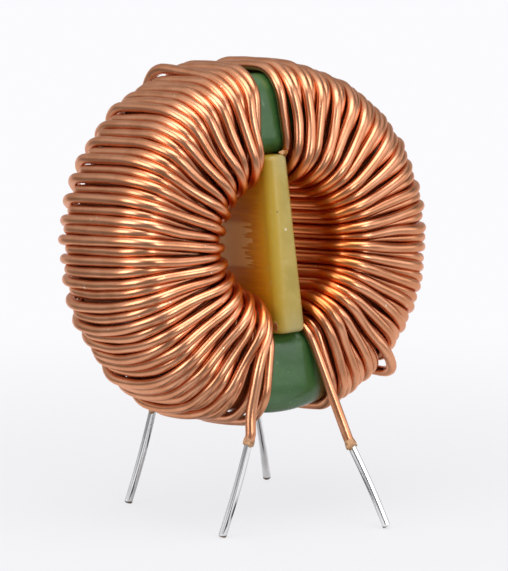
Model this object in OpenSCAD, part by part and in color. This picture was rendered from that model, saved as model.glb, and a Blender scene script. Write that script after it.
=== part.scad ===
// Upright ring choke. Two windings of enamelled wire share one coated ring core,
// a divider across the bore keeps them apart, and four tinned leads stand it on the board.
// Millimetres, Z up. The board is z = 0 and the front of the ring faces -Y.
// Places on a winding are [radius, angle from the bottom, distance along the ring's axis].

/* [Core] */
// outside diameter of the coated ring
core_od = 37.3; // [34:0.1:44]
// bore of the coated ring
core_id = 19.6; // [17:0.2:23]
// width of the ring along its axis
core_h = 14.2; // [10:0.2:20]
// radius of the ring's rounded edges at its bore
core_edge = 1.9; // [1:0.1:2.4]
// radius of its rounded edges at its rim
rim_edge = 2.8; // [1.4:0.1:4]

/* [Wire] */
// wire diameter over its enamel
wire_d = 1; // [0.8:0.05:1.2]
// clear space round a wire that lies on the core or on another wire
wire_play = 0.01; // [0.01:0.01:0.08]
// how far the wire stands off the core's outer rim near its edges
rim_stand = 0; // [0:0.05:0.5]
// how much further it bows off the middle of the rim
rim_bow = 0.12; // [0:0.02:0.8]
// how far it stands off a face where it bends round the outer edge
corner_stand = 0.34; // [0.2:0.02:0.5]
// how far the upper layer stands off the lower one in the bore
bore_slack = 0.5; // [0:0.05:0.7]
// how much further every second upper wire stands off there
bore_step = 0.55; // [0.4:0.05:0.7]
// how far an upper wire bows off a face
face_bow = 0.15; // [0:0.01:0.3]
// most extra lift of an upper wire off the layer below on a face
face_loose = 0.3; // [0:0.05:0.6]
// how far an upper wire may stray sideways on a face
face_stray = 0.24; // [0:0.02:0.26]

/* [Left winding] */
// angle of its first place on the rim, from the bottom
left_first = 12.5; // [10:0.5:16]
// angle of its last place on the rim
left_last = 172.6; // [168:0.2:175]
// how far a loose turn may bulge off the rim
left_bulge = 0.7; // [0:0.05:1.5]
// how much further all its turns stand off at the ring's side
left_swell = 0; // [0:0.05:1.2]
// angle from the bottom at which they stand off most
left_swell_at = 90; // [60:1:120]
// how much further its lower turns hang off the rim
left_hang = 0.5; // [0:0.05:1]
// how far its lowest upper turns hang further into the bore
left_slack = 1; // [0:0.1:1.4]
// angle by which the rim side of its lower turns sags
left_droop = 3; // [0:0.5:5]
// how far its one slack loop stands off the rim
left_loop = 1; // [0:0.1:2.5]

/* [Right winding] */
// angle of its first place on the rim, from the bottom
right_first = 10.2; // [9:0.2:16]
// angle of its last place on the rim
right_last = 177.2; // [168:0.2:178]
// how far a loose turn may bulge off the rim
right_bulge = 0.5; // [0:0.05:1.5]
// how much further all its turns stand off at the ring's side
right_swell = 0.95; // [0:0.05:1.2]
// angle from the bottom at which they stand off most
right_swell_at = 102; // [60:1:120]
// how much further its lower turns hang off the rim
right_hang = 0; // [0:0.05:1]
// how far its lowest upper turns hang further into the bore
right_slack = 0.3; // [0:0.1:1.4]
// angle by which the rim side of its lower turns sags
right_droop = 0; // [0:0.5:5]
// how far its one slack loop stands off the rim
right_loop = 1.6; // [0:0.1:2.5]

/* [Divider] */
// thickness at its upper end
divider_top = 2.76; // [1.5:0.02:4]
// thickness at its lower end
divider_bottom = 3.42; // [1.5:0.02:4]
// how far it stands out of the bore at each side, past the core's face
divider_out = 1.3; // [-2:0.1:3]
// radius of its upright corners
divider_round = 0.8; // [0.3:0.05:0.9]
// angle at which it leans over in the bore, its lower end to the right
divider_turn = 1.7; // [-4:0.1:4]
// gap between its ends and the bore
divider_fit = 0.1; // [0.05:0.05:0.3]
// gap between its sides and the wires beside it
divider_gap = 0.04; // [0.02:0.02:0.3]

/* [Stance] */
// height of the core's underside over the board
core_clear = 11.55; // [10.85:0.05:20]
// angle at which the ring leans back
lean = 7.3; // [0:0.1:12]

/* [Leads] */
// length of straight enamelled wire above each tinned end
lead_neck = 0.7; // [0.3:0.1:1.5]
// foot of the front left lead: across, and out past the core's face
foot_front_left = [-9.5, 3.2]; // [-14:0.1:14]
// top of its tinned end: across, out, and height
top_front_left = [-7.1, 4.9, 10.8]; // [-14:0.1:14]
// foot of the back left lead
foot_back_left = [-9.4, 2.3]; // [-14:0.1:14]
// top of its tinned end
top_back_left = [-7.1, 0.5, 11.1]; // [-14:0.1:14]
// foot of the front right lead
foot_front_right = [8, 9.3]; // [-14:0.1:14]
// top of its tinned end
top_front_right = [5.5, 5.8, 9.2]; // [-14:0.1:14]
// foot of the back right lead
foot_back_right = [10.2, 4.1]; // [-14:0.1:14]
// top of its tinned end
top_back_right = [6.9, 1.5, 9.9]; // [-14:0.1:14]

/* [Hidden] */
wire_facets = 6;
ring_z = core_clear + core_od / 2;
face = core_h / 2;
bore_r = core_id / 2;
rim_r = core_od / 2;
mid_r = (bore_r + rim_r) / 2;
// from a surface to the middle of a wire lying on it
wire_seat = wire_d / 2 + wire_play;
flat = face + wire_seat;
pitch = wire_d + 2 * wire_play;
reach = wire_d + wire_play;
// tan of half the turn at a corner that the wire takes in two bends
bend = tan(22.5);
// the straight across the outer edge: its angle, and the bends at its ends
edge_tilt = 36.7;
edge_off = rim_edge + wire_seat + 0.03;
shoulder_r = rim_r + wire_seat + rim_stand;
edge_r = rim_r - rim_edge;
edge_z = face - rim_edge;
bore_edge_z = face - core_edge;
shoulder_z = edge_z + (edge_off - (shoulder_r - edge_r) * cos(edge_tilt)) / sin(edge_tilt);
corner_z = flat + corner_stand;
corner_r = edge_r + (edge_off - (corner_z - edge_z) * sin(edge_tilt)) / cos(edge_tilt);
// places across the bore: the first layer takes the even ones and the second nests between them
pass_r = bore_r - wire_seat;
bore_first = asin((divider_bottom / 2 + wire_d / 2 + divider_gap) / pass_r);
bore_last = 180 - asin((divider_top / 2 + wire_d / 2 + divider_gap) / pass_r);
rim_ease = 1.02;
rim_least = rim_ease * pitch / shoulder_r * 180 / PI;
rim_span = min(left_last - left_first, right_last - right_first);
bore_fit = floor((bore_last - bore_first) / (2 * asin(pitch / (2 * pass_r))));
layer = 1 + min(bore_fit, floor(rim_span / rim_least / 2));
places = 2 * layer - 2;
step = (bore_last - bore_first) / places;
turns = places - 1;
beside = pass_r * sin(step);
layer_in = pass_r - pass_r * cos(step) + sqrt(max(0, reach * reach - beside * beside));
LEFT = 0;
RIGHT = 1;
rim_first = [left_first, right_first];
rim_last = [left_last, right_last];
bulge = [left_bulge, right_bulge];
slack = [left_slack, right_slack];
droop = [left_droop, right_droop];
loop_out = [left_loop, right_loop];
swell = [left_swell, right_swell];
swell_at = [left_swell_at, right_swell_at];
hang = [left_hang, right_hang];
loop_turn = [layer + 1, 2 * layer - 7];
seed = [0, 20];
// lift of an upper wire at the bore, mid face, outer edge and rim, in wires:
// nested between its neighbours on one face, and over them on the other
nested = [0.88, 0.72, 0.36, 0.1];
crossing = [1.02, 1.06, 1.1, 0.45];
// the same where a wire of the lower layer climbs over its neighbour
climbing = [0.6, 1.35, 1, 1];
// how far along the way from its bore angle to its rim angle a wire is at each bend on a face
sweep = [0.15, 0.55, 0.95];

function unit(v) = v / norm(v);
function scatter(i, k) = let (v = 1000 * sin(137.5 * i + 61.7 * k)) v - floor(v);

// from the ring's own axes to the leaning ring over the board
function stand(v) = [v.x, v.y * cos(lean) + v.z * sin(lean), v.z * cos(lean) - v.y * sin(lean)];
function sense(side) = side == LEFT ? -1 : 1;
function at(side, p) =
    [0, 0, ring_z] + stand([sense(side) * p[0] * sin(p[1]), sense(side) * p[2], -p[0] * cos(p[1])]);
function across(side, a) = stand([sense(side) * cos(a), 0, sin(a)]);

// uneven spacing round the rim: some turns touch and some stand apart
function spread(side, places) =
    [for (j = 0, t = 0; j <= places; t = t + scatter(j, 7 + seed[side]), j = j + 1) t];
function rim_angles(side) = let (t = spread(side, places),
                                 spare = rim_last[side] - rim_first[side] - places * rim_least)
    [for (m = [0 : places]) rim_first[side] + m * rim_least + spare * t[m] / t[places]];

// passes through the bore climb on the core, then come back down over the first layer
function upper(pass) = pass >= layer;
function pass_place(pass) = upper(pass) ? 2 * places + 1 - 2 * pass : 2 * pass;
function pass_angle(side, pass) = bore_first + step * pass_place(pass) + sense(side) * divider_turn;
function pass_lift(side, pass) = !upper(pass) ? 0
    : layer_in + bore_slack + slack[side] * pow(1 - pass_place(pass) / places, 3)
      + (pass - layer) % 2 * bore_step * (1 + 0.5 * scatter(pass, 3 + seed[side]));

// the two bends of a pass at the edge of the bore
function bore_bends(lift) = let (r = core_edge + wire_seat + lift, c = bore_r + core_edge)
    [[c - r, bore_edge_z + r * bend], [c - r * bend, bore_edge_z + r]];

// what one turn's rim side does: its stand off the rim, its sag and its loop
function rim_off(side, turn, rim) =
    bulge[side] * pow(scatter(turn, 1 + seed[side]), 1.5)
    + swell[side] * pow(max(0, cos(rim - swell_at[side])), 2)
    + hang[side] * max(0, sin(2 * rim));
function rim_sag(side, rim) = -droop[side] * max(0, sin(2 * rim));
function rim_loop(side, turn) = turn == loop_turn[side] ? loop_out[side] : 0;

// half a turn, from the bore over one face to the shoulder of the rim
function half_turn(side, turn, pass, dir, rim) = let (
        over = upper(pass) || (side == RIGHT && turn == layer - 1),
        nests = (dir < 0) == (side == RIGHT),
        level = nests ? nested : crossing,
        start = upper(pass) ? level : [climbing[0], climbing[1] * level[1]],
        stray = over ? face_stray * (2 * scatter(turn, (dir > 0 ? 17 : 19) + seed[side]) - 1) : 0,
        near = mid_r * sin(step) - abs(stray),
        hold = nests ? sqrt(max(0, reach * reach - near * near)) + 4 * wire_play : 0,
        lift = [start[0] * reach, max(start[1] * reach, hold), level[2] * reach, level[3] * reach],
        up = over ? lift : [0, 0, 0, 0],
        loose = over ? face_loose * scatter(turn, (dir > 0 ? 11 : 13) + seed[side]) : 0,
        loop = dir < 0 ? rim_loop(side, turn) : 0,
        a = pass_angle(side, pass),
        b = bore_bends(pass_lift(side, pass)),
        way = rim - a)
    [[b[0][0], a, dir * b[0][1]],
     [b[1][0], a + sweep[0] * way, dir * max(b[1][1], flat + up[0])],
     if (over) [mid_r, a + sweep[1] * way + stray / mid_r * 180 / PI,
                dir * (flat + face_bow + up[1] + loose)],
     [corner_r + 0.35 * up[2] + 0.3 * loop, a + sweep[2] * way,
      dir * (corner_z + up[2] + 0.6 * loose + 0.5 * loop)],
     [shoulder_r + 0.8 * rim_off(side, turn, rim) + 0.7 * up[3] + loop, rim + 0.3 * rim_sag(side, rim),
      dir * (shoulder_z + 0.4 * up[3] + 0.6 * loop)]];

function one_turn(side, turn, rims) = let (
        rim = rims[pass_place(side == RIGHT ? turn + 1 : turn)],
        far = half_turn(side, turn, turn + 1, -1, rim),
        lift = (upper(turn) ? 0.25 * wire_d : 0) + 0.3 * rim_loop(side, turn))
    concat(half_turn(side, turn, turn, 1, rim),
           [[shoulder_r + rim_bow + rim_off(side, turn, rim) + lift, rim + rim_sag(side, rim), 0]],
           [for (i = [len(far) - 1 : -1 : 0]) far[i]]);

// points of the coil from the first bend in the bore to the last
function coil(side) = let (
        rims = rim_angles(side),
        a = pass_angle(side, 0),
        first = bore_bends(0),
        z = pass_angle(side, turns),
        last = bore_bends(pass_lift(side, turns)))
    concat([[first[1][0], a, -first[1][1]], [first[0][0], a, -first[0][1]]],
           [for (t = [0 : turns - 1]) each one_turn(side, t, rims)],
           [[last[0][0], z, last[0][1]], [last[1][0], z, last[1][1]]]);

// wire between the coil and its tinned ends; the right winding starts straight to its foot
rim_out = rim_r + wire_seat;
lead_start = [[[rim_out - 1.3, 20.2, -face - 2.9], [rim_out - 5.96, bore_first - 0.4, -face - 2.4]], []];
lead_end = [[[mid_r - 0.82, 24.6, face + 3.3], [rim_out + 0.04, 20.6, face + 2.4]],
            [[mid_r - 2.02, 21.2, face + 3], [rim_out - 0.26, 18.4, face + 3]]];

// a tinned end runs from its top to its foot, whose lowest point rests on the board
function lead_top(t, out) = [t[0], out * (face + t[1]), t[2]];
function lead_foot(f, t, out) = let (
        flat = [f[0], out * (face + f[1]), 0],
        dir = unit(lead_top(t, out) - flat))
    [flat.x, flat.y, wire_d / 2 * norm([dir.x, dir.y])];
function lead_way(f, t, out) = unit(lead_top(t, out) - lead_foot(f, t, out));
function lead_pair(f, t, out) =
    [lead_top(t, out), lead_top(t, out) + lead_neck * lead_way(f, t, out)];

start_pair = [lead_pair(foot_back_left, top_back_left, 1),
              lead_pair(foot_front_right, top_front_right, -1)];
end_pair = [lead_pair(foot_front_left, top_front_left, -1),
            lead_pair(foot_back_right, top_back_right, 1)];

// the whole wire as [point, direction across it]
function wire_path(side) = let (
        body = concat(lead_start[side], coil(side), lead_end[side]),
        a = across(side, body[0][1]),
        z = across(side, body[len(body) - 1][1]))
    concat([[start_pair[side][0], a], [start_pair[side][1], a]],
           [for (p = body) [at(side, p), across(side, p[1])]],
           [[end_pair[side][1], z], [end_pair[side][0], z]]);

// one ring of points, on the plane that halves the bend
function wire_ring(path, i) = let (
        last = len(path) - 1,
        d0 = unit(path[max(i, 1)][0] - path[max(i, 1) - 1][0]),
        d1 = unit(path[min(i, last - 1) + 1][0] - path[min(i, last - 1)][0]),
        t = unit(d0 + d1),
        u = unit(path[i][1] - (path[i][1] * t) * t),
        v = cross(t, u),
        turned = norm(d1 - d0) > 0.001,
        n = turned ? unit(d1 - d0) : u,
        stretch = turned ? 2 / norm(d0 + d1) - 1 : 0)
    [for (k = [0 : wire_facets - 1]) let (
            a = 360 * k / wire_facets,
            o = wire_d / 2 * (cos(a) * u + sin(a) * v))
        path[i][0] + o + stretch * (o * n) * n];

module bent_wire(path) {
    m = wire_facets;
    last = len(path) - 1;
    points = [for (i = [0 : last]) each wire_ring(path, i)];
    skin = [for (i = [0 : last - 1], k = [0 : m - 1]) let (a = i * m + k, b = i * m + (k + 1) % m)
        each [[a, b + m, b], [a, a + m, b + m]]];
    caps = [for (k = [1 : m - 2]) each [[0, k, k + 1], [last * m, last * m + k + 1, last * m + k]]];
    polyhedron(points = points, faces = concat(skin, caps));
}

module on_ring() {
    translate([0, 0, ring_z])
        rotate([-lean, 0, 0])
            children();
}

module core() {
    color([0.31, 0.49, 0.33])
        on_ring()
            rotate([90, 0, 0])
                rotate_extrude($fn = 96)
                    union() {
                        translate([bore_r, -bore_edge_z])
                            square([edge_r - bore_r, 2 * bore_edge_z]);
                        translate([bore_r + core_edge, -face])
                            square([edge_r - bore_r - core_edge, core_h]);
                        translate([edge_r, -edge_z])
                            square([rim_edge, 2 * edge_z]);
                        for (z = [-bore_edge_z, bore_edge_z])
                            translate([bore_r + core_edge, z])
                                circle(r = core_edge, $fn = 32);
                        for (z = [-edge_z, edge_z])
                            translate([edge_r, z])
                                circle(r = rim_edge, $fn = 32);
                    }
}

// a tapered bar with rounded upright corners, its ends curved to the bore
module divider() {
    deep = face + divider_out - divider_round;
    color([0.74, 0.62, 0.30])
        on_ring()
            rotate([0, -divider_turn, 0])
                intersection() {
                    rotate([90, 0, 0])
                        cylinder(h = 2 * deep + 3, r = bore_r - divider_fit, center = true, $fn = 96);
                    hull()
                        for (x = [-1, 1], y = [-deep, deep]) {
                            translate([x * (divider_bottom / 2 - divider_round), y, -bore_r])
                                cylinder(h = 0.01, r = divider_round, $fn = 24);
                            translate([x * (divider_top / 2 - divider_round), y, bore_r])
                                cylinder(h = 0.01, r = divider_round, $fn = 24);
                        }
                }
}

module winding_left() {
    color([0.72, 0.40, 0.24])
        bent_wire(wire_path(LEFT));
}

module winding_right() {
    color([0.70, 0.38, 0.22])
        bent_wire(wire_path(RIGHT));
}

module tinned_end(f, t, out) {
    foot = lead_foot(f, t, out);
    way = lead_way(f, t, out);
    color([0.82, 0.83, 0.85])
        translate(foot)
            rotate([0, acos(way.z), atan2(way.y, way.x)])
                cylinder(h = norm(lead_top(t, out) - foot), d = wire_d, $fn = 32);
}

module tinned_end_front_left() {
    tinned_end(foot_front_left, top_front_left, -1);
}

module tinned_end_back_left() {
    tinned_end(foot_back_left, top_back_left, 1);
}

module tinned_end_front_right() {
    tinned_end(foot_front_right, top_front_right, -1);
}

module tinned_end_back_right() {
    tinned_end(foot_back_right, top_back_right, 1);
}

core();
divider();
winding_left();
winding_right();
tinned_end_front_left();
tinned_end_back_left();
tinned_end_front_right();
tinned_end_back_right();
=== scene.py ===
# Looks of an upright ring choke: enamelled windings, coated core, divider and tinned leads.
import math

import bmesh
import bpy
from mathutils import Matrix, Vector, noise


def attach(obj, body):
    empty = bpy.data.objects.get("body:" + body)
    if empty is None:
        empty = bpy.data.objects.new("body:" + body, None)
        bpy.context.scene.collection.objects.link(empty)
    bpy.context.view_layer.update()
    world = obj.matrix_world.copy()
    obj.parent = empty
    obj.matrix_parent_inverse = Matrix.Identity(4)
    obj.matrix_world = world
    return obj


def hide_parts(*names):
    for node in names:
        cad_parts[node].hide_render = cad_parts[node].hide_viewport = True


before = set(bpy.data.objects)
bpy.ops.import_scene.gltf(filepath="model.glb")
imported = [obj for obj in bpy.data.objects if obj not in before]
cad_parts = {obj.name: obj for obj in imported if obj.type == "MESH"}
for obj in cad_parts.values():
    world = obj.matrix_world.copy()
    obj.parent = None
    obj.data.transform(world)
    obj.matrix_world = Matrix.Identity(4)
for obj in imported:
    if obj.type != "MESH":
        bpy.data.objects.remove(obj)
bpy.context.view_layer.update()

MM = 0.001
noise.seed_set(1)  # noise_vector takes its offsets from this seed

# Sizes, the same as the solids have, in millimetres and degrees.
CORE_OD, CORE_ID, CORE_H, CORE_EDGE, RIM_EDGE = 37.3, 19.6, 14.2, 1.9, 2.8
WIRE_D, WIRE_PLAY, RIM_STAND, RIM_BOW, CORNER_STAND = 1.0, 0.01, 0.0, 0.12, 0.34
BORE_SLACK, BORE_STEP, FACE_BOW, FACE_LOOSE, FACE_STRAY = 0.5, 0.55, 0.15, 0.3, 0.24
RIM_FIRST, RIM_LAST, LOOP_OUT = (12.5, 10.2), (172.6, 177.2), (1.0, 1.6)
BULGE, SLACK, DROOP = (0.7, 0.5), (1.0, 0.3), (3.0, 0.0)
SWELL, SWELL_AT, HANG = (0.0, 0.95), (90, 102), (0.5, 0.0)
DIVIDER_TOP, DIVIDER_BOTTOM, DIVIDER_OUT, DIVIDER_ROUND = 2.76, 3.42, 1.3, 0.8
DIVIDER_GAP, DIVIDER_TURN = 0.04, 1.7
CORE_CLEAR, LEAN, LEAD_NECK = 11.55, 7.3, 0.7
LEFT, RIGHT = 0, 1
FEET = {  # foot across and out past the core's face, then the top of the tinned end
    "front_left": ((-9.5, 3.2), (-7.1, 4.9, 10.8), -1),
    "back_left": ((-9.4, 2.3), (-7.1, 0.5, 11.1), 1),
    "front_right": ((8.0, 9.3), (5.5, 5.8, 9.2), -1),
    "back_right": ((10.2, 4.1), (6.9, 1.5, 9.9), 1),
}

# What is drawn otherwise than in the solids.
ENAMEL_D, BARE_D, WIRE_SIDES, TIN_SIDES = 1.09, 0.9, 14, 24
RIM_THICKER = 0.08  # share by which a wire is thicker out on the rim
WIRE_WAVE, WAVE_LONG, WAVE_EASE = 0.09, 4, 60  # height, length, points from an end to full height
COAT_WAVE, COAT_WAVE_SCALE = 0.05, 0.35
DIVIDER_SOFT, DIVIDER_END_ROUND, DIVIDER_END_GAP = 1.25, 0.6, 0.03
TIN_BOW, TIN_CUT, TIN_CUT_SHARE = 0.13, 0.1, 0.84


def sin(a): return math.sin(math.radians(a))
def cos(a): return math.cos(math.radians(a))
def asin(v): return math.degrees(math.asin(v))


# Faces, radii and the wire's centre line round the core's section.
RING_Z, FACE, BORE_R, RIM_R = CORE_CLEAR + CORE_OD / 2, CORE_H / 2, CORE_ID / 2, CORE_OD / 2
MID = (BORE_R + RIM_R) / 2
SEAT, PITCH, REACH = WIRE_D / 2 + WIRE_PLAY, WIRE_D + 2 * WIRE_PLAY, WIRE_D + WIRE_PLAY
FLAT, PASS_R = FACE + SEAT, BORE_R - SEAT
BEND = math.tan(math.radians(22.5))  # how far out the two bends of a quarter turn lie
EDGE_TILT, EDGE_PLAY = 36.7, 0.03
EDGE_OFF, EDGE_R, EDGE_Z = RIM_EDGE + SEAT + EDGE_PLAY, RIM_R - RIM_EDGE, FACE - RIM_EDGE
BORE_EDGE_Z = FACE - CORE_EDGE
SHOULDER_R, CORNER_Z = RIM_R + SEAT + RIM_STAND, FLAT + CORNER_STAND
SHOULDER_Z = EDGE_Z + (EDGE_OFF - (SHOULDER_R - EDGE_R) * cos(EDGE_TILT)) / sin(EDGE_TILT)
CORNER_R = EDGE_R + (EDGE_OFF - (CORNER_Z - EDGE_Z) * sin(EDGE_TILT)) / cos(EDGE_TILT)

# Places across the bore: the lower layer takes the even ones and the upper nests between.
BORE_FIRST = asin((DIVIDER_BOTTOM / 2 + WIRE_D / 2 + DIVIDER_GAP) / PASS_R)
BORE_LAST = 180 - asin((DIVIDER_TOP / 2 + WIRE_D / 2 + DIVIDER_GAP) / PASS_R)
RIM_EASE = 1.02
RIM_LEAST = math.degrees(RIM_EASE * PITCH / SHOULDER_R)
RIM_SPAN = min(b - a for a, b in zip(RIM_FIRST, RIM_LAST))
LAYER = 1 + min(math.floor((BORE_LAST - BORE_FIRST) / (2 * asin(PITCH / (2 * PASS_R)))),
                math.floor(RIM_SPAN / RIM_LEAST / 2))
PLACES = 2 * LAYER - 2
STEP, TURNS = (BORE_LAST - BORE_FIRST) / PLACES, PLACES - 1
LAYER_IN = (PASS_R - PASS_R * cos(STEP)
            + math.sqrt(max(0, REACH ** 2 - (PASS_R * sin(STEP)) ** 2)))
LOOP_TURN = (LAYER + 1, 2 * LAYER - 7)

# Lift of an upper wire at the bore's edge, mid face, corner and shoulder, in wire steps.
NESTED, CROSSING = (0.88, 0.72, 0.36, 0.1), (1.02, 1.06, 1.1, 0.45)
CLIMBING = (0.6, 1.35)  # the first, and the second's share, where a lower wire climbs over
SWEEP = (0.15, 0.55, 0.95)  # how much of its angle it has swept at the first three
# Shares of lift and loop outward, then of looseness and loop upward, at the corner.
CORNER_OUT, CORNER_UP = (0.35, 0.3), (0.6, 0.5)
# Shares of bulge and lift outward, of lift and loop upward, and of sag, at the shoulder.
SHOULDER_OUT, SHOULDER_UP, SHOULDER_SAG = (0.8, 0.7), (0.4, 0.6), 0.3
UPPER_ON_RIM, LOOP_ON_RIM = 0.25, 0.3

# Which scatter a size takes, two of them by the face, 1 or -1, that a half turn lies on.
SEED = (0, 20)
FOR_BULGE, FOR_SLACK, FOR_GAP = 1, 3, 7
FOR_LOOSE, FOR_STRAY = {1: 11, -1: 13}, {1: 17, -1: 19}


def scatter(i, k):
    """A number from 0 to 1 for each turn and use, the same in each run."""
    v = 1000 * sin(137.5 * i + 61.7 * k)
    return v - math.floor(v)


def on_ring(x, y, z):
    """A point of the upright ring, leaned back and lifted over the board, in millimetres."""
    return Vector((x, y * cos(LEAN) + z * sin(LEAN), z * cos(LEAN) - y * sin(LEAN) + RING_Z))


def at(side, r, a, out):
    s = -1 if side == LEFT else 1
    return on_ring(s * r * sin(a), s * out, -r * cos(a))


def rim_angles(side):
    gaps = [scatter(j, FOR_GAP + SEED[side]) for j in range(PLACES)]
    first, spare = RIM_FIRST[side], RIM_LAST[side] - RIM_FIRST[side] - PLACES * RIM_LEAST
    return [first + m * RIM_LEAST + spare * sum(gaps[:m]) / sum(gaps) for m in range(PLACES + 1)]


def pass_place(p): return 2 * PLACES + 1 - 2 * p if p >= LAYER else 2 * p


def pass_angle(side, p):
    return BORE_FIRST + STEP * pass_place(p) + (-DIVIDER_TURN if side == LEFT else DIVIDER_TURN)


def pass_lift(side, p):
    if p < LAYER:
        return 0
    return (LAYER_IN + BORE_SLACK + SLACK[side] * (1 - pass_place(p) / PLACES) ** 3
            + (p - LAYER) % 2 * BORE_STEP * (1 + 0.5 * scatter(p, FOR_SLACK + SEED[side])))


def bore_bends(lift):
    r, c = CORE_EDGE + SEAT + lift, BORE_R + CORE_EDGE
    return (c - r, BORE_EDGE_Z + r * BEND), (c - r * BEND, BORE_EDGE_Z + r)


def rim_off(side, turn, rim):
    return (BULGE[side] * scatter(turn, FOR_BULGE + SEED[side]) ** 1.5
            + SWELL[side] * max(0, cos(rim - SWELL_AT[side])) ** 2
            + HANG[side] * max(0, sin(2 * rim)))


def rim_sag(side, rim): return -DROOP[side] * max(0, sin(2 * rim))
def rim_loop(side, turn): return LOOP_OUT[side] if turn == LOOP_TURN[side] else 0


def half_turn(side, turn, p, way, rim):
    """The bends of one face of a turn, from its pass through the bore out to the rim."""
    over = p >= LAYER or (side == RIGHT and turn == LAYER - 1)
    nests = (way < 0) == (side == RIGHT)
    level = NESTED if nests else CROSSING
    start = level if p >= LAYER else (CLIMBING[0], CLIMBING[1] * level[1])
    stray, loose, up = 0, 0, (0,) * 4
    if over:
        stray = FACE_STRAY * (2 * scatter(turn, FOR_STRAY[way] + SEED[side]) - 1)
        loose = FACE_LOOSE * scatter(turn, FOR_LOOSE[way] + SEED[side])
        near = MID * sin(STEP) - abs(stray)
        hold = math.sqrt(max(0, REACH ** 2 - near ** 2)) + 4 * WIRE_PLAY if nests else 0
        up = (start[0] * REACH, max(start[1] * REACH, hold), level[2] * REACH, level[3] * REACH)
    loop = rim_loop(side, turn) if way < 0 else 0
    a = pass_angle(side, p)
    b, on = bore_bends(pass_lift(side, p)), rim - a
    points = [(b[0][0], a, way * b[0][1]),
              (b[1][0], a + SWEEP[0] * on, way * max(b[1][1], FLAT + up[0]))]
    if over:
        points.append((MID, a + SWEEP[1] * on + math.degrees(stray / MID),
                       way * (FLAT + FACE_BOW + up[1] + loose)))
    return points + [
        (CORNER_R + CORNER_OUT[0] * up[2] + CORNER_OUT[1] * loop, a + SWEEP[2] * on,
         way * (CORNER_Z + up[2] + CORNER_UP[0] * loose + CORNER_UP[1] * loop)),
        (SHOULDER_R + SHOULDER_OUT[0] * rim_off(side, turn, rim) + SHOULDER_OUT[1] * up[3] + loop,
         rim + SHOULDER_SAG * rim_sag(side, rim),
         way * (SHOULDER_Z + SHOULDER_UP[0] * up[3] + SHOULDER_UP[1] * loop)),
    ]


def coil(side):
    rims = rim_angles(side)
    a, z = pass_angle(side, 0), pass_angle(side, TURNS)
    first, last = bore_bends(0), bore_bends(pass_lift(side, TURNS))
    points = [(first[1][0], a, -first[1][1]), (first[0][0], a, -first[0][1])]
    for turn in range(TURNS):
        rim = rims[pass_place(turn + 1 if side == RIGHT else turn)]
        lift = (UPPER_ON_RIM * WIRE_D if turn >= LAYER else 0) + LOOP_ON_RIM * rim_loop(side, turn)
        points += half_turn(side, turn, turn, 1, rim)
        points.append((SHOULDER_R + RIM_BOW + rim_off(side, turn, rim) + lift,
                       rim + rim_sag(side, rim), 0))
        points += half_turn(side, turn, turn + 1, -1, rim)[::-1]
    return points + [(last[0][0], z, last[0][1]), (last[1][0], z, last[1][1])]


def lead(name):
    """Top and foot of a tinned end; the foot's lowest point rests on the board."""
    foot, top, out = FEET[name]
    top = Vector((top[0], out * (FACE + top[1]), top[2]))
    flat = Vector((foot[0], out * (FACE + foot[1]), 0))
    way = (top - flat).normalized()
    return top, flat + Vector((0, 0, WIRE_D / 2 * way.xy.length))


def neck(name):
    top, foot = lead(name)
    return [top, top + LEAD_NECK * (top - foot).normalized()]


# Bends between the coil and the necks; the right winding starts straight to its foot.
OUT = RIM_R + SEAT
LEAD_START = ([(OUT - 1.3, 20.2, -FACE - 2.9), (OUT - 5.96, BORE_FIRST - 0.4, -FACE - 2.4)], [])
LEAD_END = ([(MID - 0.82, 24.6, FACE + 3.3), (OUT + 0.04, 20.6, FACE + 2.4)],
            [(MID - 2.02, 21.2, FACE + 3), (OUT - 0.26, 18.4, FACE + 3)])


def wire_bends(side):
    """Every bend of a winding's wire, from one tinned end to the other."""
    start, end = (("back_left", "front_left"), ("front_right", "back_right"))[side]
    body = LEAD_START[side] + coil(side) + LEAD_END[side]
    return neck(start) + [at(side, *p) for p in body] + neck(end)[::-1]


def rounded(bends, longest=9.0, steps=5, apart=0.02):
    """The bends of a path turned into arcs that meet half way along the straights."""
    path = [bends[0]]
    for before, corner, after in zip(bends, bends[1:], bends[2:]):
        room = min((before - corner).length, (after - corner).length, longest) / 2
        a = corner + room * (before - corner).normalized()
        b = corner + room * (after - corner).normalized()
        if (a - path[-1]).length > apart:
            path.append(a)
        for k in range(1, steps + 1):
            t = k / steps
            path.append(a * (1 - t) ** 2 + corner * 2 * t * (1 - t) + b * t * t)
    return path + [bends[-1]]


def unsteady(path, seed):
    """The path with the slow waves that a hand-pulled wire keeps, none at its two ends."""
    run, moved = 0, []
    for i, p in enumerate(path):
        run += (p - path[i - 1]).length if i else 0
        ease = min(1, i / WAVE_EASE, (len(path) - 1 - i) / WAVE_EASE)
        wave = noise.noise_vector(Vector((run / WAVE_LONG, 9.7 * seed, 0.5)))
        moved.append(p + WIRE_WAVE * ease * wave)
    return moved


def rim_thickness(p):
    """The wire's thickness at a point: a little more on the rim than in the bore or a lead."""
    r = (UPRIGHT.inverted() @ p).xz.length
    rising, falling = (r - 12) / 4, (22.6 - r) / 2  # over radii 12 to 16 and 20.6 to 22.6
    return 1 + RIM_THICKER * min(1, max(0, rising)) * min(1, max(0, falling))


def piece(name, mesh):
    mesh.name = name
    new = bpy.data.objects.new(name, mesh)
    bpy.context.scene.collection.objects.link(new)
    return new


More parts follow.
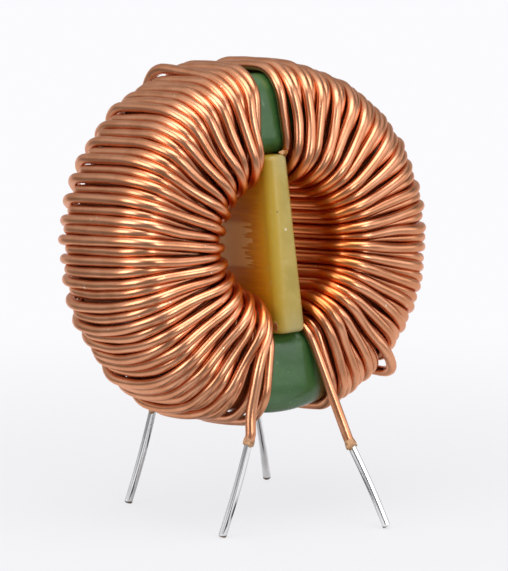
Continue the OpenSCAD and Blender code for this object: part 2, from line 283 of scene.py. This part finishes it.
def wire_curve(name, path, radius, sides, thick):
    """A round wire along a path given in millimetres, closed at both ends, as a mesh."""
    data = bpy.data.curves.new(name, "CURVE")
    data.dimensions = "3D"
    data.bevel_depth = radius * MM
    data.bevel_resolution = sides // 2 - 2
    data.use_fill_caps = True
    spline = data.splines.new("POLY")
    spline.points.add(len(path) - 1)
    for point, p, share in zip(spline.points, path, thick):
        point.co = (*(p * MM), 1)
        point.radius = share
    rough = bpy.data.objects.new(name + "_path", data)
    bpy.context.scene.collection.objects.link(rough)
    view = bpy.context.evaluated_depsgraph_get()
    mesh = bpy.data.meshes.new_from_object(rough.evaluated_get(view))
    bpy.data.objects.remove(rough)
    bpy.data.curves.remove(data)
    return piece(name, mesh)


def shaped(name, bm, matrix=Matrix.Identity(4)):
    """A closed bmesh in millimetres, put in its place as an object in metres."""
    bmesh.ops.remove_doubles(bm, verts=bm.verts, dist=1e-5)
    bmesh.ops.transform(bm, matrix=Matrix.Scale(MM, 4) @ matrix, verts=bm.verts)
    bmesh.ops.recalc_face_normals(bm, faces=bm.faces)
    mesh = bpy.data.meshes.new(name)
    bm.to_mesh(mesh)
    bm.free()
    return piece(name, mesh)


def outline(bm, points):
    """A closed line through the points, ready to spin, and its vertices."""
    corners = [bm.verts.new(p) for p in points]
    for a, b in zip(corners, corners[1:] + corners[:1]):
        bm.edges.new((a, b))
    return corners


def spin(bm, axis, steps):
    bmesh.ops.spin(bm, geom=list(bm.verts) + list(bm.edges), cent=(0, 0, 0), axis=axis,
                   dvec=(0, 0, 0), angle=math.tau, steps=steps, use_merge=True)


def bevel(bm, geom, kind, size, segments):
    bmesh.ops.bevel(bm, geom=geom, affect=kind, offset=size, segments=segments, profile=0.5,
                    material=-1)


def smooth(obj):
    obj.data.polygons.foreach_set("use_smooth", [True] * len(obj.data.polygons))
    obj.data.update()
    return obj


def finish(obj, material, slot, *nodes):
    obj.data.materials.clear()
    obj.data.materials.append(material)
    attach(obj, "root")
    if nodes:
        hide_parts(*nodes)
    return obj


def ring_core():
    """The coated ring: a rounded section spun about the ring's axis, its coat slightly wavy."""
    bm = bmesh.new()
    corners = outline(bm, [(r, y, 0) for r, y in
                           ((BORE_R, -FACE), (BORE_R, FACE), (RIM_R, FACE), (RIM_R, -FACE))])
    for pair, edge in ((corners[:2], CORE_EDGE), (corners[2:], RIM_EDGE)):
        bevel(bm, pair, "VERTICES", edge, 10)
    straights = [e for e in bm.edges if e.calc_length() > 2]
    bmesh.ops.subdivide_edges(bm, edges=straights, cuts=8)
    spin(bm, (0, 1, 0), 240)
    bmesh.ops.remove_doubles(bm, verts=bm.verts, dist=1e-4)
    bmesh.ops.recalc_face_normals(bm, faces=bm.faces)
    bm.normal_update()
    moves = [(v, -COAT_WAVE * abs(noise.noise(v.co * COAT_WAVE_SCALE)) * v.normal)
             for v in bm.verts]
    for v, move in moves:
        v.co += move
    return shaped("coated_core", bm, UPRIGHT)


def divider_bar():
    """The tapered bar across the bore, its upright corners and its ends rounded."""
    bm = bmesh.new()
    bmesh.ops.create_cube(bm, size=2)
    deep, high = FACE + DIVIDER_OUT, BORE_R - DIVIDER_END_GAP
    for v in bm.verts:
        wide = (DIVIDER_TOP if v.co.z > 0 else DIVIDER_BOTTOM) / 2
        v.co = Vector((v.co.x * wide, v.co.y * deep, v.co.z * high))
    upright = [e for e in bm.edges if abs(e.verts[0].co.z - e.verts[1].co.z) > high]
    soft = [e for e in upright if e.verts[0].co.x < 0 and e.verts[0].co.y < 0]
    crisp = [e for e in upright if e not in soft]
    for edges, size in ((crisp, DIVIDER_ROUND), (soft, DIVIDER_SOFT)):
        bevel(bm, edges, "EDGES", size, 8)
    ends = [e for e in bm.edges if abs(e.verts[0].co.z - e.verts[1].co.z) < 0.01]
    bevel(bm, ends, "EDGES", DIVIDER_END_ROUND, 6)
    turn = Matrix.Rotation(math.radians(-DIVIDER_TURN), 4, "Y")
    return shaped("divider_bar", bm, UPRIGHT @ turn)


def tinned_end(name, count=28):
    """A tinned end, bowed a little, with its cut edge broken."""
    top, foot = lead(name)
    way = (foot - top).normalized()
    aside = way.cross(Vector((0, 1, 0))).normalized()
    path = [top.lerp(foot, k / count) + TIN_BOW * sin(180 * k / count) * aside
            for k in range(count)]
    path += [foot - TIN_CUT * way, foot]
    thick = [1.0] * (len(path) - 1) + [TIN_CUT_SHARE]
    return wire_curve(name + "_tinned", path, BARE_D / 2, TIN_SIDES, thick)


def enamel_collar(name, seed):
    """The flared, torn end of the enamel, pushed back when the wire was tinned."""
    top, foot = lead(name)
    bm = bmesh.new()
    section = ((0.47, 0.55), (0.535, 0.55), (0.58, 0.2), (0.64, -0.15), (0.62, -0.5), (0.47, -0.45))
    outline(bm, [(r, 0, z) for r, z in section])
    spin(bm, (0, 0, 1), 40)
    torn_below, skin = 0.4, 0.5
    for v in bm.verts:
        ragged = noise.noise(Vector((v.co.x * 2.2, v.co.y * 2.2, seed * 5.1)))
        lumpy = noise.noise(Vector((v.co.x * 5, v.co.y * 5, seed * 3.3 + v.co.z)))
        if v.co.z < torn_below:
            v.co.z += 0.55 * ragged * (torn_below - v.co.z)
            v.co.xy *= 1 + (0.12 * lumpy if v.co.xy.length > skin else 0)
    turn = (top - foot).to_track_quat("Z", "Y").to_matrix().to_4x4()
    return shaped(name + "_collar", bm, Matrix.Translation(top) @ turn)


def glue_drop(name, where, size, seed):
    """A small drop of set resin, flattened and uneven."""
    bm = bmesh.new()
    bmesh.ops.create_icosphere(bm, subdivisions=4, radius=1)
    for v in bm.verts:
        v.co *= 1 + 0.35 * noise.noise(v.co * 1.1 + Vector((seed, 0, 0)))
    matrix = UPRIGHT @ Matrix.Translation(where) @ Matrix.Diagonal((*size, 1))
    return shaped(name, bm, matrix)


class Graph:
    """The node tree of a material or world, with one method for any node."""

    def __init__(self, owner):
        owner.use_nodes = True
        self.owner, self.tree = owner, owner.node_tree
        self.tree.nodes.clear()

    def node(self, kind, out=0, set=None, **inputs):
        """A new node's output number out; i0, i1 and so on are inputs by number, others by name."""
        n = self.tree.nodes.new(kind)
        for key, value in (set or {}).items():
            setattr(n, key, value)
        for key, value in inputs.items():
            numbered = key[0] == "i" and key[1:].isdigit()
            socket = n.inputs[int(key[1:]) if numbered else key.replace("_", " ")]
            if isinstance(value, Value):
                self.tree.links.new(value.socket, socket)
            else:
                socket.default_value = value
        return Value(self, n.outputs[out]) if n.outputs else None


class Value:
    """A socket that can be added, multiplied and compared like a number."""

    def __init__(self, graph, socket):
        self.graph, self.socket = graph, socket

    def math(self, operation, *others):
        inputs = {f"i{k}": v for k, v in enumerate((self,) + others)}
        return self.graph.node("ShaderNodeMath", set={"operation": operation}, **inputs)

    def swapped(self, operation, other):
        return self.graph.node("ShaderNodeMath", set={"operation": operation}, i0=other, i1=self)

    def __add__(self, other): return self.math("ADD", other)
    def __radd__(self, other): return self.math("ADD", other)
    def __sub__(self, other): return self.math("SUBTRACT", other)
    def __rsub__(self, other): return self.swapped("SUBTRACT", other)
    def __mul__(self, other): return self.math("MULTIPLY", other)
    def __rmul__(self, other): return self.math("MULTIPLY", other)
    def __pow__(self, other): return self.math("POWER", other)
    def high(self, other): return self.math("MAXIMUM", other)
    def low(self, other): return self.math("MINIMUM", other)

    def between(self, low, high):
        """0 below low, 1 above high, smooth between."""
        return self.graph.node("ShaderNodeMapRange", set={"interpolation_type": "SMOOTHSTEP"},
                               Value=self, From_Min=low, From_Max=high)


def material(name): return Graph(bpy.data.materials.new(name))


def mix(graph, factor, a, b):
    """Colour a where the factor is 0, b where it is 1."""
    n = graph.tree.nodes.new("ShaderNodeMix")
    n.data_type = "RGBA"
    for socket, value in ((n.inputs[0], factor), (n.inputs[6], a), (n.inputs[7], b)):
        if isinstance(value, Value):
            graph.tree.links.new(value.socket, socket)
        elif hasattr(value, "__len__"):
            socket.default_value = (*value[:3], 1)
        else:
            socket.default_value = value
    return Value(graph, n.outputs[2])


def place(graph, stretch=(1, 1, 1)):
    """Object coordinates in millimetres, stretched along each axis."""
    here = graph.node("ShaderNodeTexCoord", out=3)
    return graph.node("ShaderNodeVectorMath", set={"operation": "MULTIPLY"}, i0=here,
                      i1=tuple(s / MM for s in stretch))


def part_of(graph, vector, axis):
    return graph.node("ShaderNodeSeparateXYZ", out=axis, Vector=vector)


def in_ring(graph):
    """Across, forward and up from the leaning ring's centre, along the ring, in millimetres."""
    x, y, z = (part_of(graph, place(graph), axis) for axis in range(3))
    up = z - RING_Z
    return x, up * sin(LEAN) - y * cos(LEAN), up * cos(LEAN) + y * sin(LEAN)


def speckle(graph, scale, detail=3, rough=0.5, where=None):
    return graph.node("ShaderNodeTexNoise", out=0, Vector=where or place(graph), Scale=scale,
                      Detail=detail, Roughness=rough)


def surface(graph, bump, strength, distance, **inputs):
    """A Principled material with a bump, its depth in millimetres."""
    inputs["Normal"] = graph.node("ShaderNodeBump", Height=bump, Strength=strength,
                                  Distance=distance * MM)
    shader = graph.node("ShaderNodeBsdfPrincipled", **inputs)
    graph.node("ShaderNodeOutputMaterial", Surface=shader)
    return graph.owner


def copper_enamel():
    deep, light, scuffed = (0.62, 0.262, 0.132), (0.73, 0.34, 0.19), (0.80, 0.46, 0.30)
    # The first colour on the next line is painted inter-reflection, used on the wires inside the
    # bore.
    painted_bounce_red, dusty, clear = (0.74, 0.23, 0.055), (0.88, 0.70, 0.52), (1.0, 0.78, 0.66, 1)
    g = material("copper_enamel")
    tone, fine = speckle(g, 0.30, 2), speckle(g, 3.0, 3)
    dust = speckle(g, 2.2, 1, 0.3)
    across, forward, up = in_ring(g)
    from_axis = (across ** 2 + up ** 2) ** 0.5
    # Deeper red on the wires in the bore: painted inter-reflection between the wires and off the
    # amber divider.
    painted_bounce_share = 1 - (from_axis + 0.25 * forward.math("ABSOLUTE")).between(10.2, 12.8)
    colour = mix(g, tone.between(0.35, 0.68), deep, light)
    colour = mix(g, fine.between(0.55, 0.8) * 0.3, colour, scuffed)
    colour = mix(g, painted_bounce_share * 0.85, colour, painted_bounce_red)
    colour = mix(g, dust.between(0.77, 0.81), colour, dusty)
    return surface(g, fine, 0.05, 0.02, Base_Color=colour, Metallic=1.0, Specular_Tint=clear,
                   Roughness=0.26 + 0.06 * speckle(g, 1.2, 2),
                   Coat_Weight=0.1, Coat_Roughness=0.08, Coat_IOR=1.5)


def green_epoxy():
    deep, light = (0.024, 0.083, 0.018), (0.034, 0.107, 0.024)
    # The first colour on the next line is painted shade with painted copper reflection, used where
    # the windings cover the core.
    painted_shade_under_wires, pale = (0.23, 0.050, 0.012), (0.16, 0.24, 0.14)
    g = material("green_epoxy")
    tone, peel = speckle(g, 0.5, 3), speckle(g, 0.9, 2)
    across, forward, up = in_ring(g)
    # Where the windings cover the core it is dark red-brown: painted shade with painted copper
    # reflection, so gaps between wires look like shadowed copper.
    covered = across.math("ABSOLUTE").between(3.2, 6.0)
    colour = mix(g, tone.between(0.3, 0.7), deep, light)
    colour = mix(g, covered * 0.95, colour, painted_shade_under_wires)
    colour = mix(g, speckle(g, 1.9, 1, 0.3).between(0.74, 0.78) * 0.5, colour, pale)
    return surface(g, peel, 0.4, 0.12, Base_Color=colour, Roughness=0.34,
                   Coat_Weight=0.3, Coat_Roughness=0.10)


def amber_resin():
    """Amber with drawn-out streaks and a pale patch of painted light towards the back, turning
    khaki on the front face; the sides' amber is partly painted reflection of the copper.
    """
    deep, light, ahead = (0.62, 0.235, 0.003), (0.74, 0.31, 0.006), (0.60, 0.32, 0.014)
    # The first colour on the next line is painted light, falling in through the back of the bore.
    painted_back_light, corner = (0.98, 0.66, 0.20), (0.39, 0.26, 0.026)
    face_deep, face_light = (0.305, 0.225, 0.048), (0.355, 0.265, 0.066)
    pale_end, cloudy = (0.34, 0.295, 0.15), (0.55, 0.45, 0.22)
    g = material("amber_resin")
    across, forward, up = in_ring(g)
    tone, cloud = speckle(g, 0.4, 3), speckle(g, 1.1, 3)
    along, ragged = (g.node("ShaderNodeCombineXYZ", i0=0.6 * across, i1=a * forward, i2=b * up)
                     for a, b in ((0.15, 2.2), (0.03, 1.7)))
    streak = speckle(g, 1.0, 3, 0.6, along)
    edge = speckle(g, 1.0, 2, 0.5, ragged)
    amber = mix(g, streak.between(0.3, 0.7), deep, light)
    amber = mix(g, forward.between(4.6, 7.2), amber, ahead)
    # A pale patch with a ragged front edge on the side, towards the back: painted light falling in
    # through the back of the bore.
    lit_patch = 1 - (forward + 2.4 * edge.between(0.42, 0.66)).between(3.9, 4.4)
    level = (up.between(-2.7, -2.3) * (1 - up.between(1.9, 2.9))
             * forward.between(-4.5, -2.0))
    amber = mix(g, lit_patch * level * 0.9, amber, painted_back_light)
    amber = mix(g, (forward + 0.5 * across).between(5.6, 7.4), amber, corner)
    khaki = mix(g, tone.between(0.35, 0.7), face_deep, face_light)
    khaki = mix(g, up.math("ABSOLUTE").between(6.5, 9.8) * 0.5, khaki, pale_end)
    # The sides' saturated amber is partly the resin's own colour and partly painted reflection of
    # the copper windings that face them; the front face is khaki.
    front = (across + 0.25 * tone).between(-1.5, 0.5) * forward.between(7.4, 8.1)
    colour = mix(g, front, amber, khaki)
    colour = mix(g, cloud.between(0.55, 0.75) * 0.15, colour, cloudy)
    for x, z, size, shade in ((-0.75, 3.6, 0.14, (0.16, 0.11, 0.03)),
                              (0.13, 1.6, 0.2, (0.50, 0.46, 0.30))):
        spot = ((across - x) ** 2 + (up - z) ** 2) ** 0.5
        fleck = (1 - spot.between(0.5 * size, size)) * forward.between(8.0, 8.2)
        colour = mix(g, fleck, colour, shade)
    return surface(g, speckle(g, 1.5, 3), 0.18, 0.05, Base_Color=colour, Roughness=0.36,
                   Specular_IOR_Level=0.35, Subsurface_Weight=0.2,
                   Subsurface_Radius=(1.0, 0.6, 0.2), Subsurface_Scale=MM)


def bright_tin():
    grey, white, cut = (0.78, 0.78, 0.78), (0.88, 0.88, 0.88), (0.20, 0.155, 0.125)
    g = material("bright_tin")
    height = part_of(g, place(g), 2)
    tone = speckle(g, 1.0, 3, where=place(g, (1, 1, 0.25)))
    colour = mix(g, tone.between(0.3, 0.7), grey, white)
    colour = mix(g, 1 - (height + 0.2 * tone).between(0.36, 0.5), colour, cut)
    return surface(g, tone, 0.06, 0.04, Base_Color=colour, Metallic=1.0,
                   Roughness=0.07 + 0.10 * speckle(g, 2.0, 2))


def burnt_enamel():
    charred, tan = (0.27, 0.125, 0.055), (0.50, 0.29, 0.145)
    g = material("burnt_enamel")
    tone = speckle(g, 2.5, 3)
    colour = mix(g, tone.between(0.3, 0.7), charred, tan)
    return surface(g, tone, 0.6, 0.08, Base_Color=colour, Roughness=0.42)


def set_glue():
    deep, light = (0.26, 0.10, 0.025), (0.42, 0.21, 0.07)
    g = material("set_glue")
    tone = speckle(g, 1.6, 2)
    colour = mix(g, tone.between(0.3, 0.7), deep, light)
    return surface(g, tone, 0.3, 0.05, Base_Color=colour, Roughness=0.12,
                   Subsurface_Weight=0.3, Subsurface_Radius=(1.0, 0.5, 0.1), Subsurface_Scale=MM)


UPRIGHT = Matrix.Translation((0, 0, RING_Z)) @ Matrix.Rotation(math.radians(-LEAN), 4, "X")
copper, epoxy, resin, tin = copper_enamel(), green_epoxy(), amber_resin(), bright_tin()
burnt, glue = burnt_enamel(), set_glue()

for side, node in ((LEFT, "winding_left"), (RIGHT, "winding_right")):
    path = unsteady(rounded(wire_bends(side)), side)
    thick = [rim_thickness(p) for p in path]
    wire = wire_curve(node + "_wire", path, ENAMEL_D / 2, WIRE_SIDES, thick)
    finish(smooth(wire), copper, "enamelled_copper", node)
finish(smooth(ring_core()), epoxy, "core_coating", "core")
finish(smooth(divider_bar()), resin, "divider_resin", "divider")
for k, name in enumerate(FEET):
    finish(smooth(tinned_end(name)), tin, "tinned_copper", "tinned_end_" + name)
    finish(smooth(enamel_collar(name, k)), burnt, "enamelled_copper")
for name, where, size, seed in (
        ("glue_top", (0.85, -7.85, 9.95), (0.6, 0.3, 0.27), 1.0),
        ("glue_foot", (-1.6, -7.7, -8.9), (0.12, 0.5, 0.6), 3.0)):
    finish(smooth(glue_drop(name, where, size, seed)), glue, "divider_resin")

# Floor, camera and light.
BACKDROP, FLOOR_GREY = (0.947, 0.947, 0.973, 1), (0.50, 0.50, 0.51, 1)
FLOOR_HALF = 3000
AZIMUTH, ELEVATION, DISTANCE, LENS = -32.75, 11.0, 700, 450.4
AIM_RIGHT, AIM_DOWN = 1.05, 4.8  # from the ring's centre, so that the whole choke is in view
CAMERA_RAY, GLOSSY_RAY, GLASS_RAY = 0, 3, 6
# Dark strips painted on the floor that only reflections see, for painted dark streaks on the tinned
# ends: where they start and which way they run.
PAINTED_DARK_STRIPS, STRIP_X, STRIP_Y = ((-8.8, -10.9), (-8.6, 8.7), (9.2, 10.3)), 0.47, 0.88


def towards(azimuth, elevation):
    return Vector((sin(azimuth) * cos(elevation), -cos(azimuth) * cos(elevation), sin(elevation)))


def ray(graph, kind):
    return graph.node("ShaderNodeLightPath", out=kind)


def pale_floor():
    """The backdrop's colour to the camera, with a shadow near the choke; darker in reflections."""
    g = material("pale_floor")
    away = g.node("ShaderNodeVectorMath", out=1, set={"operation": "LENGTH"}, i0=place(g))
    matt = g.node("ShaderNodeBsdfPrincipled", Base_Color=FLOOR_GREY, Roughness=0.5)
    x, y = (part_of(g, place(g), axis) for axis in range(2))
    # Painted dark strips, seen only in reflections.
    painted_strips = 0.0
    for foot_x, foot_y in PAINTED_DARK_STRIPS:
        along = -STRIP_X * (x - foot_x) - STRIP_Y * (y - foot_y)
        aside = STRIP_Y * (x - foot_x) - STRIP_X * (y - foot_y)
        strip = ((1 - aside.math("ABSOLUTE").between(1.2, 3.4))
                * along.between(1, 4) * (1 - along.between(28, 34)))
        painted_strips = strip + painted_strips
    # Ahead of and left of the choke, past about 40 mm, the floor is dimmer in reflections: painted
    # shade reflected in the wires' undersides.
    ahead, left = (sin(a) * x - cos(a) * y for a in (AZIMUTH, -85))
    outer = (0.68 * ahead.between(-30, 70)).high(0.72 * left.between(0, 45)) * away.between(40, 60)
    dim = (0.95 * painted_strips).high(outer).low(0.95)
    glow = g.node("ShaderNodeEmission", Color=BACKDROP, Strength=1.02 - ray(g, GLOSSY_RAY) * dim)
    seen = ray(g, CAMERA_RAY).high(ray(g, GLASS_RAY)) * (0.76 + 0.24 * away.between(35, 110))
    mirrored = ray(g, GLOSSY_RAY) * away.between(8, 26).high(painted_strips)
    both = g.node("ShaderNodeMixShader", i0=seen.high(mirrored), i1=matt, i2=glow)
    g.node("ShaderNodeOutputMaterial", Surface=both)
    return g.owner


bm = bmesh.new()
bmesh.ops.create_grid(bm, x_segments=1, y_segments=1, size=FLOOR_HALF)
floor = shaped("floor", bm)
floor.data.materials.append(pale_floor())

back = towards(AZIMUTH, ELEVATION)
right = Vector((cos(AZIMUTH), sin(AZIMUTH), 0))
target = Vector((0, 0, RING_Z)) + AIM_RIGHT * right - AIM_DOWN * back.cross(right)
camera = bpy.data.objects.new("camera", bpy.data.cameras.new("camera"))
bpy.context.scene.collection.objects.link(camera)
camera.data.sensor_fit = "HORIZONTAL"
camera.data.sensor_width = 36
camera.data.lens = LENS
camera.data.clip_start, camera.data.clip_end = 0.05, 20
camera.location = (target + DISTANCE * back) * MM
camera.rotation_euler = back.to_track_quat("Z", "Y").to_euler()
bpy.context.scene.camera = camera


def area(name, azimuth, elevation, distance, wide, high, power, aim=(0, 0, 25)):
    """A lamp that faces aim; degrees, millimetres and watts."""
    light = bpy.data.lights.new(name, "AREA")
    light.shape = "RECTANGLE"
    light.size, light.size_y, light.energy = wide * MM, high * MM, power
    obj = bpy.data.objects.new(name, light)
    bpy.context.scene.collection.objects.link(obj)
    way = towards(azimuth, elevation)
    obj.location = (Vector(aim) + distance * way) * MM
    obj.rotation_euler = way.to_track_quat("Z", "Y").to_euler()
    return obj


fill = area("fill", -60, 12, 500, 200, 200, 0.36)
fill.visible_glossy = False
area("top_soft", -20, 72, 350, 310, 290, 0.92)
area("left_soft", -88, 22, 380, 200, 250, 0.58)
area("front_window", -2, 16, 400, 150, 220, 0.50)


def soft_room():
    """A pale tent, brightest overhead and on the right, dim round the camera and high right."""
    g = Graph(bpy.data.worlds.new("soft_room"))
    way = g.node("ShaderNodeTexCoord", out=0)

    def facing(azimuth, elevation):
        return g.node("ShaderNodeVectorMath", out=1, set={"operation": "DOT_PRODUCT"}, i0=way,
                      i1=towards(azimuth, elevation))

    height = part_of(g, way, 2)
    dark = facing(-38, 5).between(0.86, 0.96)
    gap = (height.between(0.44, 0.54) * (1 - height.between(0.66, 0.74))
           * facing(50, 20).between(0.3, 0.7))
    overhead = height.between(0.66, 0.8)
    behind = facing(AZIMUTH + 180, 5).between(0.1, 0.6)
    low = 1 - height.between(0.3, 0.6)
    right_wall, left_wall = facing(44, 14).between(0.8, 0.97), facing(-108, 30).between(0.55, 0.9)
    level = 0.38 * (1 - 0.4 * dark) * (1 - 0.8 * gap) + 0.36 * overhead
    level = level + 0.15 * behind * low + 1.25 * right_wall + 0.4 * left_wall
    room = g.node("ShaderNodeBackground", Color=(0.98, 0.98, 1.0, 1), Strength=level)
    g.node("ShaderNodeOutputWorld", Surface=room)
    return g.owner


bpy.context.scene.world = soft_room()
bpy.context.scene.view_settings.view_transform = "Standard"
